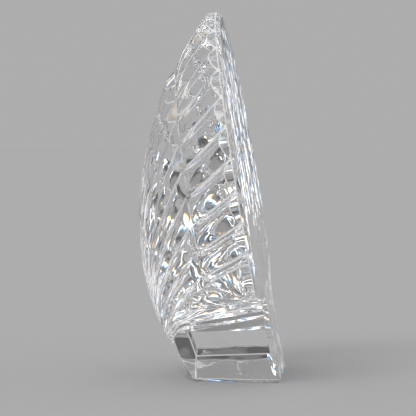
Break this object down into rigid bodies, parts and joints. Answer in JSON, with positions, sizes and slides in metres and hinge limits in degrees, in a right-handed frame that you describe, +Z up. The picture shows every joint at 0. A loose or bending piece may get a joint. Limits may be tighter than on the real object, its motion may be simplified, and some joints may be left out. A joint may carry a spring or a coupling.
{
  "type": "shell paperweight",
  "caption": "Upright clear crystal scallop shell with a fluted dome, a stepped fluted border, a flat leaning back and an eared foot; stands on a desk and holds papers down.",
  "frame": {"origin": "middle of the foot's underside, on the surface that the shell stands on", "axes": "+X across the fan, +Y from the ribbed front to the flat back, +Z up"},
  "size_m": [0.097, 0.0361, 0.0917],
  "materials": {
    "crystal": "polished clear colourless crystal"
  },
  "bodies": {
    "root": {"crystal_shell": "crystal"}
  },
  "joints": []
}
